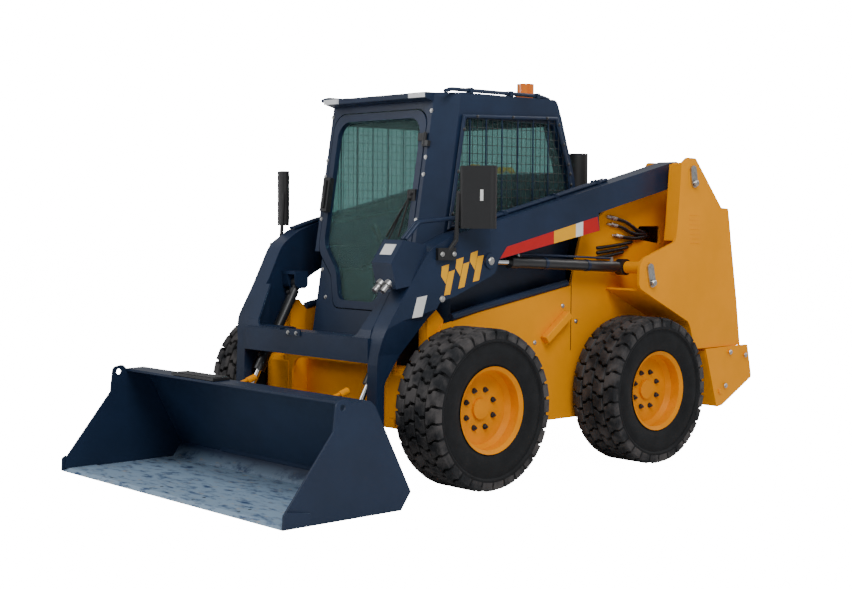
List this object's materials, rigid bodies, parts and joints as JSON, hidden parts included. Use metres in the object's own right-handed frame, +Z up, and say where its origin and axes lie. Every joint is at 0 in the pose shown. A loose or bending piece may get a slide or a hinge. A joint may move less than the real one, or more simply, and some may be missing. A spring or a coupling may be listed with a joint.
{
  "type": "skid steer loader",
  "caption": "Compact four-wheel skid steer loader with radial lift arms, general purpose bucket, enclosed cab and side towers.",
  "frame": {"origin": "on the ground under the middle of the machine's overall length and width", "axes": "+Z up, -Y towards the bucket, +X towards the machine's left side"},
  "size_m": [1.994, 3.565, 2.126],
  "materials": {
    "dark_blue_paint": "gloss",
    "orange_yellow_paint": "gloss",
    "rim_paint": "satin",
    "black_paint": "satin",
    "cast_iron": "rough",
    "zinc_steel": "satin",
    "chrome_rod": "polished",
    "cab_glass": "clear",
    "seat_vinyl": "satin",
    "amber_lens": "gloss",
    "lamp_lens": "clear",
    "black_plastic": "matte",
    "hose_rubber": "matte",
    "tyre_rubber": "matte"
  },
  "bodies": {
    "machine": {"air_cleaner": "black_plastic", "axle_housings": "orange_yellow_paint", "beacon": "amber_lens", "cab_shell": "dark_blue_paint", "chassis_frame": "orange_yellow_paint", "door_hinges": "black_paint", "engine_block": "cast_iron", "hydraulic_hoses": "hose_rubber", "rear_bumper": "orange_yellow_paint", "rear_deck": "dark_blue_paint", "rear_window": "cab_glass", "roof_lamps": "lamp_lens", "seat_cushions": "seat_vinyl", "seat_pan": "black_paint", "side_guards": "dark_blue_paint", "side_rails": "dark_blue_paint", "side_windows": "cab_glass", "tailgate_hinges": "black_paint", "tower_left": "orange_yellow_paint", "tower_pins": "zinc_steel", "tower_right": "orange_yellow_paint"},
    "arms": {"arm_left": "dark_blue_paint", "arm_right": "dark_blue_paint", "cross_member": "dark_blue_paint", "coupler_box": "dark_blue_paint", "quick_couplers": "zinc_steel", "mirrors": "black_plastic", "arm_pipes": "dark_blue_paint"},
    "bucket": {"hitch_plate": "dark_blue_paint", "hitch_levers": "orange_yellow_paint", "bucket_shell": "dark_blue_paint", "cutting_edge": "dark_blue_paint", "side_cutters": "dark_blue_paint", "bucket_step": "black_paint"},
    "door": {"door_frame": "dark_blue_paint", "door_glass": "cab_glass", "door_fittings": "black_plastic"},
    "gate": {"tailgate": "orange_yellow_paint", "tailgate_grille": "black_paint"},
    "hood": {"engine_hood": "dark_blue_paint"},
    "lift_barrel_left": {"lift_barrel_left": "black_paint"},
    "lift_rod_left": {"lift_rod_left": "chrome_rod"},
    "tilt_barrel_left": {"tilt_barrel_left": "black_paint"},
    "tilt_rod_left": {"tilt_rod_left": "chrome_rod"},
    "wheel_front_left": {"tyre_front_left": "tyre_rubber", "rim_front_left": "rim_paint"},
    "wheel_rear_left": {"tyre_rear_left": "tyre_rubber", "rim_rear_left": "rim_paint"},
    "lift_barrel_right": {"lift_barrel_right": "black_paint"},
    "lift_rod_right": {"lift_rod_right": "chrome_rod"},
    "tilt_barrel_right": {"tilt_barrel_right": "black_paint"},
    "tilt_rod_right": {"tilt_rod_right": "chrome_rod"},
    "wheel_front_right": {"tyre_front_right": "tyre_rubber", "rim_front_right": "rim_paint"},
    "wheel_rear_right": {"tyre_rear_right": "tyre_rubber", "rim_rear_right": "rim_paint"}
  },
  "joints": [
    {"name": "boom_lift", "type": "hinge", "parent": "machine", "child": "arms", "pos_m": [0, 1.2005, 1.654], "axis": [-1, 0, 0], "range_deg": [0, 70]},
    {"name": "bucket_tilt", "type": "hinge", "parent": "arms", "child": "bucket", "pos_m": [0, -0.9155, 0.17], "axis": [1, 0, 0], "range_deg": [-28, 108]},
    {"name": "lift_barrel_hinge_left", "type": "hinge", "parent": "machine", "child": "lift_barrel_left", "pos_m": [0.7, 0.8275, 1.099], "axis": [-1, 0, 0], "range_deg": [0, 68.5]},
    {"name": "lift_rod_slide_left", "type": "slide", "parent": "lift_barrel_left", "child": "lift_rod_left", "axis": [0, -0.9988, 0.0493], "range_m": [0, 0.767]},
    {"name": "tilt_barrel_hinge_left", "type": "hinge", "parent": "arms", "child": "tilt_barrel_left", "pos_m": [0.47, -0.5905, 1.002], "axis": [1, 0, 0], "range_deg": [-0.5, 1.5]},
    {"name": "tilt_rod_slide_left", "type": "slide", "parent": "tilt_barrel_left", "child": "tilt_rod_left", "axis": [0, -0.493, -0.87], "range_m": [-0.065, 0.245]},
    {"name": "lift_barrel_hinge_right", "type": "hinge", "parent": "machine", "child": "lift_barrel_right", "pos_m": [-0.7, 0.8275, 1.099], "axis": [-1, 0, 0], "range_deg": [0, 68.5]},
    {"name": "lift_rod_slide_right", "type": "slide", "parent": "lift_barrel_right", "child": "lift_rod_right", "axis": [0, -0.9988, 0.0493], "range_m": [0, 0.767]},
    {"name": "tilt_barrel_hinge_right", "type": "hinge", "parent": "arms", "child": "tilt_barrel_right", "pos_m": [-0.47, -0.5905, 1.002], "axis": [1, 0, 0], "range_deg": [-0.5, 1.5]},
    {"name": "tilt_rod_slide_right", "type": "slide", "parent": "tilt_barrel_right", "child": "tilt_rod_right", "axis": [0, -0.493, -0.87], "range_m": [-0.065, 0.245]},
    {"name": "door_hinge", "type": "hinge", "parent": "machine", "child": "door", "pos_m": [0.401, -0.48666, 1.40227], "axis": [0, 0.1618, 0.9868], "range_deg": [0, 90]},
    {"name": "hood_hinge", "type": "hinge", "parent": "machine", "child": "hood", "pos_m": [0, 0.9885, 1.448], "axis": [1, 0, 0], "range_deg": [0, 60]},
    {"name": "tailgate_hinge", "type": "hinge", "parent": "machine", "child": "gate", "pos_m": [-0.584, 1.6005, 1], "axis": [0, 0, 1], "range_deg": [0, 100]},
    {"name": "wheel_spin_front_left", "type": "hinge", "parent": "machine", "child": "wheel_front_left", "pos_m": [0, -0.439, 0.412], "axis": [1, 0, 0], "continuous": true},
    {"name": "wheel_spin_rear_left", "type": "hinge", "parent": "machine", "child": "wheel_rear_left", "pos_m": [0, 0.868, 0.412], "axis": [1, 0, 0], "continuous": true},
    {"name": "wheel_spin_front_right", "type": "hinge", "parent": "machine", "child": "wheel_front_right", "pos_m": [0, -0.439, 0.412], "axis": [1, 0, 0], "continuous": true},
    {"name": "wheel_spin_rear_right", "type": "hinge", "parent": "machine", "child": "wheel_rear_right", "pos_m": [0, 0.868, 0.412], "axis": [1, 0, 0], "continuous": true}
  ],
  "couplings": [
    {"joint": "lift_barrel_hinge_left", "follows": "boom_lift", "ratio": 0.977},
    {"joint": "lift_rod_slide_left", "follows": "boom_lift", "m_per_rad": 0.627},
    {"joint": "tilt_barrel_hinge_left", "follows": "bucket_tilt", "ratio": 0.01},
    {"joint": "tilt_rod_slide_left", "follows": "bucket_tilt", "m_per_rad": 0.129},
    {"joint": "lift_barrel_hinge_right", "follows": "boom_lift", "ratio": 0.977},
    {"joint": "lift_rod_slide_right", "follows": "boom_lift", "m_per_rad": 0.627},
    {"joint": "tilt_barrel_hinge_right", "follows": "bucket_tilt", "ratio": 0.01},
    {"joint": "tilt_rod_slide_right", "follows": "bucket_tilt", "m_per_rad": 0.129}
  ]
}
